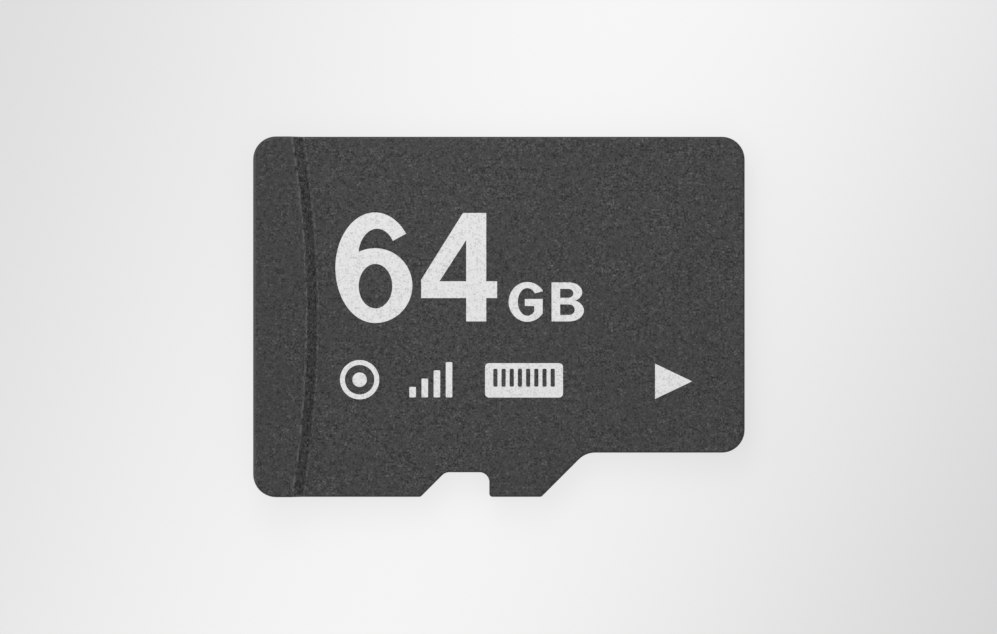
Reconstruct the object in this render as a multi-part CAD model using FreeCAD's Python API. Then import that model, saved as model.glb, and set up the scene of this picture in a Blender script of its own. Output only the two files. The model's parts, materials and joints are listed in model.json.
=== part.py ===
import FreeCAD, Part
import math
import os

from FreeCAD import Vector

# A removable flash memory card: a laminate board with gold contacts under it, memory and controller dies
# wired on top of it, and a black epoxy moulding that buries them and forms the label face and grip.
# Millimetres. +X points to the contact end, +Y to the straight long edge, +Z out of the label face.
# The origin is the centre of the card's bounding rectangle, on the contact face.

# Card outline
CARD_LENGTH = 15.0
CARD_WIDTH = 11.0
CORNER_RADIUS = 0.7
SHOULDER_STEP = 1.35         # how much narrower the contact end is
SHOULDER_TO_END = 6.21       # contact end to the foot of the shoulder's slope
SHOULDER_SLOPE = 45.0        # degrees
SHOULDER_RADIUS = 0.7        # inside corner at the top of that slope
LUG_LENGTH = 1.59            # full-width edge left between the shoulder and the latch notch
NOTCH_FLOOR = 1.35
NOTCH_DEPTH = 0.75
NOTCH_SLOPE = 45.0           # degrees, of the notch's rear wall
NOTCH_RADIUS = 0.3           # inside corners of the notch
LIP_RADIUS = 0.1             # outside corners of the lug and of the notch's mouth

# Thickness and the moulded grip
BODY_THICKNESS = 0.7
BOARD_THICKNESS = 0.16       # laminate and solder mask together
GRIP_RISE = 0.3              # how far the grip ridge stands above the label face
GRIP_TOP = 1.63              # ridge's flat top, measured on the card's centre line
GRIP_RUN = 0.29              # plan width of the ridge's sloping front
GRIP_ARC = 34.0              # plan radius of the foot of that slope
EDGE_RADIUS = 0.08           # moulded top edges
CREST_RADIUS = 0.09          # ridge top to its slope
FOOT_RADIUS = 0.04           # slope to the label face

# Contacts, named by their signals from the shouldered edge to the straight edge
CONTACTS = ["dat2", "dat3", "cmd", "vdd", "clk", "vss", "dat0", "dat1"]
POWER_CONTACTS = ["vdd", "vss"]
CONTACT_MARGIN = 0.575       # long edge of the narrow end to the first contact
CONTACT_GAP = 0.3            # between neighbouring contacts
CONTACT_INNER = 4.0          # contact end to the inner end of every contact
SIGNAL_OUTER = 1.1           # contact end to the outer end of a signal contact
POWER_OUTER = 0.3            # power contacts reach further, so they touch first
CONTACT_CORNER = 0.12        # of the mask's window
CONTACT_METAL = 0.02         # plated copper
CONTACT_RECESS = 0.012       # metal below the face of the mask
MASK_OVERLAP = 0.04          # mask laps over the plate's square border

# Dies and their adhesive films
FILM_THICKNESS = 0.015
FLASH_THICKNESS = 0.08
CONTROLLER_THICKNESS = 0.08
DIE_MARGIN = 0.6             # flash dies to the card's edges
STAIR_STEP = 0.4             # upper flash die set back to bare the lower die's pads
CONTROLLER_LENGTH = 2.0
CONTROLLER_WIDTH = 2.4
CONTROLLER_TO_END = 1.7      # contact end to the controller

# Bond fingers on the board and the wires that land on them
FINGER_LENGTH = 0.25
FINGER_WIDTH = 0.1
FINGER_METAL = 0.015
FINGER_GAP = 0.35            # die edge to its row of fingers
FINGER_ROW_GAP = 0.4         # between the flash row and the controller row
WIRE = 0.022                 # side of the wire's square section
WIRE_RISE = 0.06             # loop height above the die
PAD_INSET = 0.1              # die edge to its bond pads
FLASH_PITCH = 0.324          # between wires, which go to the two flash dies in turn
FLASH_PAD_MARGIN = 0.5       # die corner to the first pad
CONTROLLER_PITCH = 0.3       # between pads on each wired side
CONTROLLER_PAD_MARGIN = 0.15
FAN_OUT = 1.3                # controller fingers spread this much wider than its pads

# Ceramic capacitors beside the controller
CAPACITOR_LENGTH = 0.6
CAPACITOR_SECTION = 0.28     # ceramic body, square
TERMINAL_LENGTH = 0.15
TERMINAL_WALL = 0.012        # plating round each end
CAPACITOR_SPACING = 0.5      # between two in a row
CAPACITOR_CLEARANCE = 0.75   # controller to each row
LAND_BORDER = 0.04           # land showing round a terminal

# Heights
MASK_THICKNESS = CONTACT_METAL + CONTACT_RECESS
GRIP_HEIGHT = BODY_THICKNESS + GRIP_RISE
FINGER_TOP = BOARD_THICKNESS + FINGER_METAL

# Plan places that several pieces share
HALF_LENGTH = CARD_LENGTH / 2
HALF_WIDTH = CARD_WIDTH / 2
NARROW_EDGE = SHOULDER_STEP - HALF_WIDTH
NARROW_MIDDLE = (NARROW_EDGE + HALF_WIDTH) / 2
CONTROLLER_RIGHT = HALF_LENGTH - CONTROLLER_TO_END
CONTROLLER_LEFT = CONTROLLER_RIGHT - CONTROLLER_LENGTH
FLASH_RIGHT = CONTROLLER_LEFT - 2 * (FINGER_GAP + FINGER_LENGTH) - FINGER_ROW_GAP
FLASH_LEFT = DIE_MARGIN - HALF_LENGTH
FLASH_LOW = max(NOTCH_DEPTH, SHOULDER_STEP) + DIE_MARGIN - HALF_WIDTH
FLASH_HIGH = HALF_WIDTH - DIE_MARGIN

# Modelling tolerances
TINY = 1e-6                  # what counts as the same place
CORNER_SHARE = 0.45          # most of a side that the rounding of one of its corners may take


def rounded_wire(corners):
    """Closed plan outline through (x, y, radius) corners, each rounded by a tangent arc."""
    points = [Vector(x, y, 0) for x, y, _ in corners]
    count = len(points)
    rounded = []
    for i, point in enumerate(points):
        before = points[i - 1] - point
        after = points[(i + 1) % count] - point
        half_turn = (math.pi - before.getAngle(after)) / 2
        room = CORNER_SHARE * min(before.Length, after.Length)
        radius = min(corners[i][2], room / math.tan(half_turn))
        tangent = radius * math.tan(half_turn)
        start = point + before.normalize() * tangent
        end = point + after.normalize() * tangent
        inward = (before + after).normalize()
        middle = point + inward * (radius / math.cos(half_turn) - radius)
        rounded.append((start, middle, end))
    edges = []
    for i, (start, middle, end) in enumerate(rounded):
        next_start = rounded[(i + 1) % count][0]
        edges.append(Part.Arc(start, middle, end).toShape())
        edges.append(Part.LineSegment(end, next_start).toShape())
    return Part.Wire(edges)


def prism(wire, low, high):
    """Solid between two heights with that plan outline."""
    face = Part.Face(wire)
    face.translate(Vector(0, 0, low))
    return face.extrude(Vector(0, 0, high - low))


def block(left, right, front, back, low, high):
    """Rectangular solid between those places."""
    return Part.makeBox(right - left, back - front, high - low, Vector(left, front, low))


def card_outline():
    """The card's plan, anticlockwise from the grip end of the notched edge."""
    shoulder_foot = HALF_LENGTH - SHOULDER_TO_END
    shoulder_top = shoulder_foot + SHOULDER_STEP / math.tan(math.radians(SHOULDER_SLOPE))
    notch_front = shoulder_foot - LUG_LENGTH
    notch_back = notch_front - NOTCH_FLOOR
    notch_mouth = notch_back - NOTCH_DEPTH / math.tan(math.radians(NOTCH_SLOPE))
    notch_edge = NOTCH_DEPTH - HALF_WIDTH
    return rounded_wire([
        (-HALF_LENGTH, -HALF_WIDTH, CORNER_RADIUS),
        (notch_mouth, -HALF_WIDTH, LIP_RADIUS),
        (notch_back, notch_edge, NOTCH_RADIUS),
        (notch_front, notch_edge, NOTCH_RADIUS),
        (notch_front, -HALF_WIDTH, LIP_RADIUS),
        (shoulder_foot, -HALF_WIDTH, LIP_RADIUS),
        (shoulder_top, NARROW_EDGE, SHOULDER_RADIUS),
        (HALF_LENGTH, NARROW_EDGE, CORNER_RADIUS),
        (HALF_LENGTH, HALF_WIDTH, CORNER_RADIUS),
        (-HALF_LENGTH, HALF_WIDTH, CORNER_RADIUS),
    ])


def rectangle(left, right, front, back, radius):
    """Rounded rectangular plan outline."""
    return rounded_wire([
        (left, front, radius),
        (right, front, radius),
        (right, back, radius),
        (left, back, radius),
    ])


def moulding_blank(outline):
    """Moulded body and grip ridge, before the buried pieces are taken out of it."""
    plate = prism(outline, BOARD_THICKNESS, BODY_THICKNESS)
    foot_middle = GRIP_TOP + GRIP_RUN - HALF_LENGTH
    axis = Vector(foot_middle - GRIP_ARC, 0, BODY_THICKNESS)
    slope = Part.makeCone(GRIP_ARC, GRIP_ARC - GRIP_RUN, GRIP_RISE, axis)
    ridge = prism(outline, BODY_THICKNESS, GRIP_HEIGHT).common(slope)
    blank = plate.fuse(ridge).removeSplitter()
    blank = blank.makeFillet(CREST_RADIUS, edges_along_ridge(blank, GRIP_HEIGHT))
    blank = blank.makeFillet(FOOT_RADIUS, edges_along_ridge(blank, BODY_THICKNESS))
    return blank.makeFillet(EDGE_RADIUS, rim_edges(blank))


def runs_along_ridge(edge):
    return isinstance(edge.Curve, Part.Circle) and edge.Curve.Radius > GRIP_ARC / 2


def edges_along_ridge(solid, height):
    """The long arc of the ridge at that height."""
    level = [e for e in solid.Edges if all(abs(v.Z - height) < TINY for v in e.Vertexes)]
    return [e for e in level if runs_along_ridge(e)]


def rim_edges(solid):
    """Edges between the side walls and the top, which run level or up the ridge's two ends."""
    rim = []
    for edge in solid.Edges:
        start, end = edge.Vertexes[0].Point, edge.Vertexes[-1].Point
        upright = math.hypot(end.x - start.x, end.y - start.y) < TINY
        on_top = min(start.z, end.z) > BODY_THICKNESS - TINY
        if on_top and not upright and not runs_along_ridge(edge):
            rim.append(edge)
    return rim


def contact_places():
    """Name and plan rectangle (left, right, front, back) of each contact's bare metal."""
    row_width = HALF_WIDTH - NARROW_EDGE - 2 * CONTACT_MARGIN
    width = (row_width - (len(CONTACTS) - 1) * CONTACT_GAP) / len(CONTACTS)
    places = []
    for i, name in enumerate(CONTACTS):
        front = NARROW_EDGE + CONTACT_MARGIN + i * (width + CONTACT_GAP)
        outer = POWER_OUTER if name in POWER_CONTACTS else SIGNAL_OUTER
        places.append((name, HALF_LENGTH - CONTACT_INNER, HALF_LENGTH - outer, front, front + width))
    return places


def contacts_and_mask(outline):
    """Gold contacts under the board, and the mask whose round-cornered windows bare them."""
    pieces = {}
    mask = prism(outline, 0, MASK_THICKNESS)
    lap = MASK_OVERLAP
    for name, left, right, front, back in contact_places():
        metal = block(left - lap, right + lap, front - lap, back + lap, CONTACT_RECESS, MASK_THICKNESS)
        window = prism(rectangle(left, right, front, back, CONTACT_CORNER), 0, CONTACT_RECESS)
        pieces["contact_" + name] = metal
        mask = mask.cut([metal, window])
    pieces["solder_mask"] = mask
    return pieces


def film_and_die(left, right, front, back, low, thickness):
    """Adhesive film and the die on it."""
    film_top = low + FILM_THICKNESS
    film = block(left, right, front, back, low, film_top)
    die = block(left, right, front, back, film_top, film_top + thickness)
    return film, die


def bond_finger(left, middle):
    """Plated finger on the board, centred on a line across the card."""
    half = FINGER_WIDTH / 2
    return block(left, left + FINGER_LENGTH, middle - half, middle + half, BOARD_THICKNESS, FINGER_TOP)


def bond_wire(pad, landing, level_run):
    """Wire that rises from a die's pad, runs level, then slopes down to its finger."""
    plan = Vector(landing.x - pad.x, landing.y - pad.y, 0)
    span = plan.Length
    along = plan.normalize()
    level = level_run / abs(along.x)
    half = WIRE / 2
    top = pad.z + WIRE_RISE
    slope = math.atan2(top - landing.z, span - level)
    mitre = half * math.tan(slope / 2)
    foot = half / math.sin(slope)
    profile = [
        (-half, pad.z),
        (-half, top + half),
        (level + mitre, top + half),
        (span + foot, landing.z),
        (span - foot, landing.z),
        (level - mitre, top - half),
        (half, top - half),
        (half, pad.z),
    ]
    across = Vector(-along.y, along.x, 0) * WIRE
    base = Vector(pad.x, pad.y, 0) - across * 0.5
    points = [base + along * run + Vector(0, 0, height) for run, height in profile]
    return Part.Face(Part.makePolygon(points + points[:1])).extrude(across)


def spaced(low, high, pitch):
    """Evenly spaced places from low to high, as near to the pitch as whole gaps allow."""
    gaps = max(1, round((high - low) / pitch))
    return [low + (high - low) * i / gaps for i in range(gaps + 1)]


def flash_stack():
    """Two stepped flash dies on their films, wired to one row of fingers in turn."""
    low_left, up_right = FLASH_LEFT + STAIR_STEP, FLASH_RIGHT - STAIR_STEP
    lower_film, lower_die = film_and_die(
        low_left, FLASH_RIGHT, FLASH_LOW, FLASH_HIGH, BOARD_THICKNESS, FLASH_THICKNESS)
    upper_film, upper_die = film_and_die(
        FLASH_LEFT, up_right, FLASH_LOW, FLASH_HIGH, lower_die.BoundBox.ZMax, FLASH_THICKNESS)
    fingers, wires = [], []
    finger_left = FLASH_RIGHT + FINGER_GAP
    places = spaced(FLASH_LOW + FLASH_PAD_MARGIN, FLASH_HIGH - FLASH_PAD_MARGIN, FLASH_PITCH)
    for i, y in enumerate(places):
        die = upper_die if i % 2 else lower_die
        pad = Vector(die.BoundBox.XMax - PAD_INSET, y, die.BoundBox.ZMax)
        landing = Vector(finger_left + FINGER_LENGTH / 2, y, FINGER_TOP)
        fingers.append(bond_finger(finger_left, y))
        wires.append(bond_wire(pad, landing, FLASH_RIGHT + WIRE - pad.x))
    pieces = {
        "lower_flash_film": lower_film,
        "lower_flash_die": lower_die,
        "upper_flash_film": upper_film,
        "upper_flash_die": upper_die,
        "flash_wires": Part.Compound(wires),
    }
    return pieces, fingers


def controller():
    """Controller die on its film, wired to a row of fingers at each end."""
    half = CONTROLLER_WIDTH / 2
    film, die = film_and_die(
        CONTROLLER_LEFT, CONTROLLER_RIGHT, NARROW_MIDDLE - half, NARROW_MIDDLE + half,
        BOARD_THICKNESS, CONTROLLER_THICKNESS)
    reach = half - CONTROLLER_PAD_MARGIN
    fingers, wires = [], []
    for edge, side in ((CONTROLLER_LEFT, -1), (CONTROLLER_RIGHT, 1)):
        middle = edge + side * (FINGER_GAP + FINGER_LENGTH / 2)
        for offset in spaced(-reach, reach, CONTROLLER_PITCH):
            finger_y = NARROW_MIDDLE + FAN_OUT * offset
            pad = Vector(edge - side * PAD_INSET, NARROW_MIDDLE + offset, die.BoundBox.ZMax)
            landing = Vector(middle, finger_y, FINGER_TOP)
            fingers.append(bond_finger(middle - FINGER_LENGTH / 2, finger_y))
            wires.append(bond_wire(pad, landing, PAD_INSET + WIRE))
    pieces = {
        "controller_film": film,
        "controller_die": die,
        "controller_wires": Part.Compound(wires),
    }
    return pieces, fingers


def capacitor(left, front):
    """Ceramic body, its two plated ends and the lands they sit on."""
    wall = TERMINAL_WALL
    right = left + CAPACITOR_LENGTH
    back = front + CAPACITOR_SECTION + 2 * wall
    top = FINGER_TOP + CAPACITOR_SECTION + 2 * wall
    body = block(left + wall, right - wall, front + wall, back - wall, FINGER_TOP + wall, top - wall)
    terminals, lands = [], []
    for end in (left, right - TERMINAL_LENGTH):
        inner = end + TERMINAL_LENGTH
        terminals.append(block(end, inner, front, back, FINGER_TOP, top).cut(body))
        border = LAND_BORDER
        lands.append(block(
            end - border, inner + border, front - border, back + border, BOARD_THICKNESS, FINGER_TOP))
    return body, terminals, lands


def capacitors():
    """Two capacitors on each side of the controller."""
    depth = CAPACITOR_SECTION + 2 * TERMINAL_WALL
    middle = (CONTROLLER_LEFT + CONTROLLER_RIGHT) / 2
    reach = CONTROLLER_WIDTH / 2 + CAPACITOR_CLEARANCE
    lefts = (middle - CAPACITOR_SPACING / 2 - CAPACITOR_LENGTH, middle + CAPACITOR_SPACING / 2)
    fronts = (NARROW_MIDDLE - reach - depth, NARROW_MIDDLE + reach)
    pieces, terminals, lands = {}, [], []
    for front in fronts:
        for left in lefts:
            body, ends, feet = capacitor(left, front)
            pieces[f"capacitor_{len(pieces) + 1}"] = body
            terminals += ends
            lands += feet
    pieces["capacitor_terminals"] = Part.Compound(terminals)
    pieces["capacitor_lands"] = Part.Compound(lands)
    return pieces


def card():
    """Every piece of the card by name."""
    outline = card_outline()
    flash, flash_fingers = flash_stack()
    control, control_fingers = controller()
    buried = {**flash, **control, **capacitors()}
    buried["bond_fingers"] = Part.Compound(flash_fingers + control_fingers)
    moulding = moulding_blank(outline).cut([s for piece in buried.values() for s in piece.Solids])
    return {
        "mould_body": moulding,
        "laminate_board": prism(outline, MASK_THICKNESS, BOARD_THICKNESS),
        **contacts_and_mask(outline),
        **buried,
    }


os.makedirs("parts", exist_ok=True)
for name, shape in card().items():
    shape.exportStep(f"parts/{name}.step")
    print(f"{name}: {len(shape.Solids)} solid(s), {shape.Volume:.4f} mm3, valid {shape.isValid()}")
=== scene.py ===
# %% [markdown]
# # A memory card, dressed for its picture
# The card's solids come from its construction model: one black moulding, the board with its mask and gold
# contacts, and the dies, wires and capacitors that the moulding buries. This lesson gives each of them its
# finish, prints the label face, and sets up the floor, the light and the camera.
# Everything is in metres, in the card's own frame: +X points to the contact end, +Y to the straight long
# edge and +Z out of the label face. Sizes on the card are written in millimetres, and `mm` turns them into
# metres.

# %% Load the card
import json
import math

import bpy
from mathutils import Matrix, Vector


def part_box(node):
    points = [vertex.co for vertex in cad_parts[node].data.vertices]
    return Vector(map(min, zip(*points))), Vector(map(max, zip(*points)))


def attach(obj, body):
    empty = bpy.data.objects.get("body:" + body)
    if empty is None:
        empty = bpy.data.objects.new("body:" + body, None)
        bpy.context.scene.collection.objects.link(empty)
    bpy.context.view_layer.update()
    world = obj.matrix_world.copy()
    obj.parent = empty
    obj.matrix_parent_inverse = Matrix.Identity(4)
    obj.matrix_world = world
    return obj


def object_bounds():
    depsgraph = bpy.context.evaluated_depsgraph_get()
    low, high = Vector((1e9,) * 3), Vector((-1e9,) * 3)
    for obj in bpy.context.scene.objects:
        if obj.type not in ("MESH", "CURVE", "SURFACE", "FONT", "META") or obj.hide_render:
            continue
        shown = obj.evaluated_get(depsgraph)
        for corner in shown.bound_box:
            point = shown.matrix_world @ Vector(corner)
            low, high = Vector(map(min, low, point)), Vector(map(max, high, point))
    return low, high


MM_PER_METRE = 1000.0
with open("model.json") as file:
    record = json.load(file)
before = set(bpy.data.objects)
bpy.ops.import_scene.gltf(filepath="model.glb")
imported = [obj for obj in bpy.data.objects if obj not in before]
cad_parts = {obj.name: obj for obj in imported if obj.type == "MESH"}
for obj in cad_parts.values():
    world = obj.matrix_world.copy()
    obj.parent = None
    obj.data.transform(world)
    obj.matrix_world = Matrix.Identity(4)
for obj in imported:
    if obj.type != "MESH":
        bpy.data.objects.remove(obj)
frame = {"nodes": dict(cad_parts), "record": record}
cad_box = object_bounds()
cad = frame["nodes"]
scene = bpy.context.scene


def mm(value):
    """Millimetres turned into metres."""
    return value / MM_PER_METRE


corners_mm = [[round(v * MM_PER_METRE, 3) for v in corner] for corner in cad_box]
print("card box:", corners_mm, "mm,", len(cad), "pieces")

# %% [markdown]
# ## Small tools for node trees
# Every finish below is a node tree. A tree can be clicked together by hand, but a script that does so line
# by line is hard to read, so a few helpers do it. `add_node` makes a node, sets its options, and fills each
# input with a value or with a link. `new_group` makes a node group with named inputs and outputs, which
# several materials can then share.

# %% Node helpers
def add_node(tree, kind, inputs=None, **options):
    """Add a node. An input that is given a socket is linked to it, any other is set to the value."""
    node = tree.nodes.new(kind)
    for name, value in options.items():
        setattr(node, name, value)
    for name, value in (inputs or {}).items():
        if isinstance(value, bpy.types.NodeSocket):
            tree.links.new(value, node.inputs[name])
        else:
            node.inputs[name].default_value = value
    return node


def new_group(name, kind, inputs, outputs):
    """Empty node group with those sockets, and the sockets of its group input and output nodes."""
    group = bpy.data.node_groups.new(name, kind)
    for socket, socket_type, default in inputs:
        made = group.interface.new_socket(socket, in_out="INPUT", socket_type=socket_type)
        if default is not None:
            made.default_value = default
    for socket, socket_type in outputs:
        group.interface.new_socket(socket, in_out="OUTPUT", socket_type=socket_type)
    return group, group.nodes.new("NodeGroupInput").outputs, group.nodes.new("NodeGroupOutput").inputs


print("node helpers:", add_node.__name__, new_group.__name__)

# %% [markdown]
# Textures are sized in pieces per millimetre, so coordinates are first turned from metres into millimetres.
# A smaller factor along one axis draws round specks out into streaks.

# %% Coordinates and noise
def stretched(tree, vector, factors):
    """Coordinates times a factor along each axis."""
    product = add_node(tree, "ShaderNodeVectorMath", {0: vector, 1: factors}, operation="MULTIPLY")
    return product.outputs["Vector"]


def in_mm(tree, position):
    """Coordinates turned from metres into millimetres."""
    return stretched(tree, position, (MM_PER_METRE, MM_PER_METRE, MM_PER_METRE))


def axes(tree, vector):
    """The X, Y and Z of a vector, by their names."""
    return add_node(tree, "ShaderNodeSeparateXYZ", {"Vector": vector}).outputs


def noise(tree, vector, scale, detail=2.0, roughness=0.5):
    inputs = {"Vector": vector, "Scale": scale, "Detail": detail, "Roughness": roughness}
    return add_node(tree, "ShaderNodeTexNoise", inputs).outputs["Fac"]


print("coordinate helpers:", stretched.__name__, in_mm.__name__, axes.__name__, noise.__name__)

# %% [markdown]
# The same few sums come up in every finish: a value moved from one range to another, plain arithmetic, and a
# blend of two values or colours. Each gets a short name, so that a finish below reads as one sum per line.

# %% Sums and blends
def remap(tree, value, low, high, to_low=0.0, to_high=1.0, ease="LINEAR"):
    """Value moved from one range to another, and held within it."""
    inputs = {"Value": value, "From Min": low, "From Max": high, "To Min": to_low, "To Max": to_high}
    return add_node(tree, "ShaderNodeMapRange", inputs, interpolation_type=ease).outputs["Result"]


def math_node(tree, operation, *values):
    """Result of one sum on values or sockets."""
    return add_node(tree, "ShaderNodeMath", dict(enumerate(values)), operation=operation).outputs["Value"]


def blend_values(tree, factor, a, b):
    return add_node(tree, "ShaderNodeMix", {0: factor, 2: a, 3: b}).outputs[0]


def blend_colours(tree, factor, a, b):
    return add_node(tree, "ShaderNodeMix", {0: factor, 6: a, 7: b}, data_type="RGBA").outputs[2]


def grey(level):
    return (level, level, level, 1.0)


print("sum helpers:", remap.__name__, math_node.__name__, blend_values.__name__, blend_colours.__name__)

# %% [markdown]
# ## The moulding's grain
# The steel mould for such a card is spark-eroded, which leaves an even, fine, matt grain on the plastic. It
# could be a photographed texture, but noise fits it well, needs no image and stays sharp at any distance.
# The group mixes two sizes of noise. `Fleck` is the speckle: mostly near its middle level, with sparse dark
# pits and light peaks, because the swing of the noise is cubed, and stronger in some patches than in others
# as wear leaves it. `Mottle` is a broad, faint cloud that keeps the face from looking printed on, and
# `Height` drives a bump. The ink on the label lies over the same grain, so the group is shared.

# %% Group: moulded grain
GRAINS_PER_MM = 17.0
COARSE_PER_FINE = 0.4
COARSE_SHARE = 0.35
WEAR_PATCHES_PER_MM = 2.4
CLOUDS_PER_MM = 0.55
GRAIN_MIDDLE = 0.28
GRAIN_SWING = 1.7
GRAIN_PEAKS = 80.0
grain_group, given, made = new_group(
    "Moulded grain", "ShaderNodeTree",
    [("Position", "NodeSocketVector", None), ("Grains per mm", "NodeSocketFloat", GRAINS_PER_MM)],
    [("Fleck", "NodeSocketFloat"), ("Mottle", "NodeSocketFloat"), ("Height", "NodeSocketFloat")],
)
place = in_mm(grain_group, given["Position"])
fine = noise(grain_group, place, given["Grains per mm"], detail=1.5, roughness=0.6)
coarse_per_mm = math_node(grain_group, "MULTIPLY", given["Grains per mm"], COARSE_PER_FINE)
both = blend_values(grain_group, COARSE_SHARE, fine, noise(grain_group, place, coarse_per_mm))
swing = math_node(grain_group, "SUBTRACT", both, 0.5)
cubed = math_node(grain_group, "POWER", swing, 3.0)
peaks = math_node(grain_group, "MULTIPLY", cubed, GRAIN_PEAKS)
spread = math_node(grain_group, "MULTIPLY_ADD", swing, GRAIN_SWING, peaks)
wear = remap(grain_group, noise(grain_group, place, WEAR_PATCHES_PER_MM), 0.35, 0.65, 0.55, 1.25)
fleck = math_node(grain_group, "MULTIPLY_ADD", spread, wear, GRAIN_MIDDLE)
mottle = remap(grain_group, noise(grain_group, place, CLOUDS_PER_MM, detail=3.0), 0.3, 0.7)
grain_group.links.new(fleck, made["Fleck"])
grain_group.links.new(mottle, made["Mottle"])
grain_group.links.new(both, made["Height"])
print("group:", grain_group.name, "->", [socket.name for socket in made if socket.name])

# %% [markdown]
# ## Drawn and rubbed metal
# Gold contacts are rubbed by the socket's springs every time the card goes in, always along the card, and
# plated ends carry fine draw lines. Both are long thin streaks, so the second shared group is noise that is
# stretched a long way along X. It gives a mask of the streaks and a height.

# %% Group: rubbed streaks
GOLD_STREAKS_PER_MM = 26.0
STREAK_SHAPE = (30.0, MM_PER_METRE, MM_PER_METRE)
RUBBED_PATCHES_PER_MM = 1.6
streak_group, given, made = new_group(
    "Rubbed streaks", "ShaderNodeTree",
    [("Position", "NodeSocketVector", None), ("Streaks per mm", "NodeSocketFloat", GOLD_STREAKS_PER_MM)],
    [("Streak", "NodeSocketFloat"), ("Height", "NodeSocketFloat")],
)
along_x = stretched(streak_group, given["Position"], STREAK_SHAPE)
lines = noise(streak_group, along_x, given["Streaks per mm"], roughness=0.65)
patches = noise(streak_group, in_mm(streak_group, given["Position"]), RUBBED_PATCHES_PER_MM, detail=1.0)
line_share = remap(streak_group, lines, 0.42, 0.68)
patch_share = remap(streak_group, patches, 0.3, 0.65)
streak_group.links.new(math_node(streak_group, "MULTIPLY", line_share, patch_share), made["Streak"])
streak_group.links.new(lines, made["Height"])
print("group:", streak_group.name, "->", [socket.name for socket in made if socket.name])

# %% [markdown]
# ## Starting a material
# Each material below starts the same way: a Principled shader on the output, and the object coordinates that
# its textures are laid out on. Values that are the same all over the surface go straight onto the shader's
# own sockets, those that change over it are linked, and a bump feeds the shader's normal.

# %% Material helpers
def new_material(name, **constants):
    """Material with a Principled shader, its tree, that shader and its texture coordinates."""
    material = bpy.data.materials.new(name)
    material.use_nodes = True
    tree = material.node_tree
    shader = tree.nodes["Principled BSDF"]
    for socket, value in constants.items():
        shader.inputs[socket.replace("_", " ")].default_value = value
    return material, tree, shader, tree.nodes.new("ShaderNodeTexCoord").outputs


def link_finish(tree, shader, **values):
    """Link what changes over the surface to the shader's sockets."""
    for socket, value in values.items():
        tree.links.new(value, shader.inputs[socket.replace("_", " ")])


def add_bump(tree, shader, height, depth, strength):
    """Relief of that depth in metres on the shader's normal."""
    bump = add_node(tree, "ShaderNodeBump", {"Height": height, "Distance": depth, "Strength": strength})
    link_finish(tree, shader, Normal=bump.outputs["Normal"])


def use_group(tree, group, position, **sizes):
    """Shared group placed in a material, with its own values."""
    node = add_node(tree, "ShaderNodeGroup", node_tree=group)
    tree.links.new(position, node.inputs["Position"])
    for socket, value in sizes.items():
        node.inputs[socket.replace("_", " ")].default_value = value
    return node.outputs


helpers = (new_material, link_finish, add_bump, use_group)
print("material helpers:", *(helper.__name__ for helper in helpers))

# %% [markdown]
# ## Finish: black moulding
# The moulding is epoxy filled with fine silica and carbon black. Its label face and grip are matt from the
# mould's grain. The side walls are cut, not moulded, because many cards are made in one panel and then cut
# apart, so they carry fine upright lines instead of grain. Two materials could do it, but the moulding is
# one mesh, so one material tells the two apart by how far the surface looks up or down, its normal's Z.

# %% Material: moulding, grain and cut walls
PIT_TONE = grey(0.002)
PEAK_TONE = grey(0.12)
CLOUD_TONE = grey(0.024)
CLOUD_SHARE = 0.22
WALL_TONES = (grey(0.02), grey(0.045))
CUT_LINES_PER_MM = 24.0
CUT_LINE_SHAPE = (MM_PER_METRE, MM_PER_METRE, 60.0)
WALL_BELOW = 0.1
FACE_ABOVE = 0.66
moulding, tree, shader, where = new_material("black_moulding", IOR=1.5)
grain = use_group(tree, grain_group, where["Object"], Grains_per_mm=GRAINS_PER_MM)
speckle = blend_colours(tree, grain["Fleck"], PIT_TONE, PEAK_TONE)
clouds = remap(tree, grain["Mottle"], 0.0, 1.0, 0.0, CLOUD_SHARE)
clouded = blend_colours(tree, clouds, speckle, CLOUD_TONE)
upright = stretched(tree, where["Object"], CUT_LINE_SHAPE)
cut_lines = noise(tree, upright, CUT_LINES_PER_MM, roughness=0.6)
wall_tone = blend_colours(tree, cut_lines, *WALL_TONES)
level = math_node(tree, "ABSOLUTE", axes(tree, where["Normal"])["Z"])
on_wall = remap(tree, level, WALL_BELOW, FACE_ABOVE, 1.0, 0.0, ease="SMOOTHSTEP")
print("moulding: grain and cut walls,", len(tree.nodes), "nodes so far")

# %% [markdown]
# Pale lines are painted along the ridge's crest, a little in front of its foot, and along the grip's outer
# edge.
# On the crest and on the grip's edge they are painted highlight, and partly grain that fingers rub paler
# when they pull the card out by its grip. In front of the foot the line is a painted highlight. Painted
# masks would need a map for the whole card, but the foot of the ridge is an arc, so the distance from the
# arc's axis finds the ridge's lines exactly. Noise that is stretched along the ridge breaks its two lines
# into dashes. The grip's edge is lightened evenly.

# %% Material: moulding, painted highlights and rubbed lines
GRIP_END_X = cad_box[0][0] * MM_PER_METRE
GRIP_TOP = 1.63
RIDGE_RUN = 0.29
RIDGE_ARC = 34.0
CREST_ARC = RIDGE_ARC - RIDGE_RUN
RIDGE_AXIS = (GRIP_END_X + GRIP_TOP + RIDGE_RUN - RIDGE_ARC, 0.0, 0.0)
LINE_AND_FADE_WIDTH = 0.055
FOOT_HIGHLIGHT_SHARE = 0.85
GRIP_END_HIGHLIGHT_AND_RUB = 0.26
DASH_SHAPE = (1.0, 0.35, 1.0)
DASHES_PER_MM = 13.0


def line_mask(tree, value, centre, half_width):
    """One where the value is at the centre of a line, fading to nothing at its sides."""
    offset = math_node(tree, "ABSOLUTE", math_node(tree, "SUBTRACT", value, centre))
    return remap(tree, offset, 0.0, half_width, 1.0, 0.0, ease="SMOOTHSTEP")


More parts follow.
